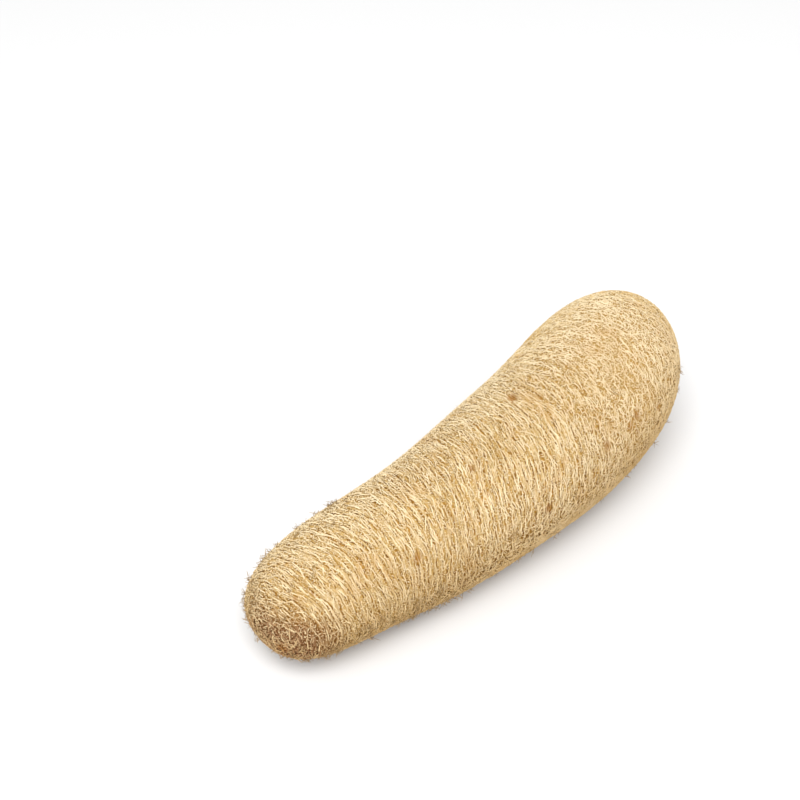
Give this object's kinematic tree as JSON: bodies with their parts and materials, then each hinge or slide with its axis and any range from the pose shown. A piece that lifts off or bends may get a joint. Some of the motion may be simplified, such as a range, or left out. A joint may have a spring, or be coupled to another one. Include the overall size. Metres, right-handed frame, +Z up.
{
  "type": "natural loofah sponge",
  "caption": "Whole dried loofah: a bowed, club-shaped net of straw-coloured plant fibres with rounded ends, for washing and scrubbing.",
  "frame": {"origin": "middle of the loofah's footprint on the surface that it lies on", "axes": "+X along its length towards the thick end, +Y towards the hollow side of its bow, +Z up"},
  "size_m": [0.353, 0.1104, 0.0981],
  "materials": {
    "fibre": "matte"
  },
  "bodies": {
    "root": {"loofah": "fibre"}
  },
  "joints": []
}
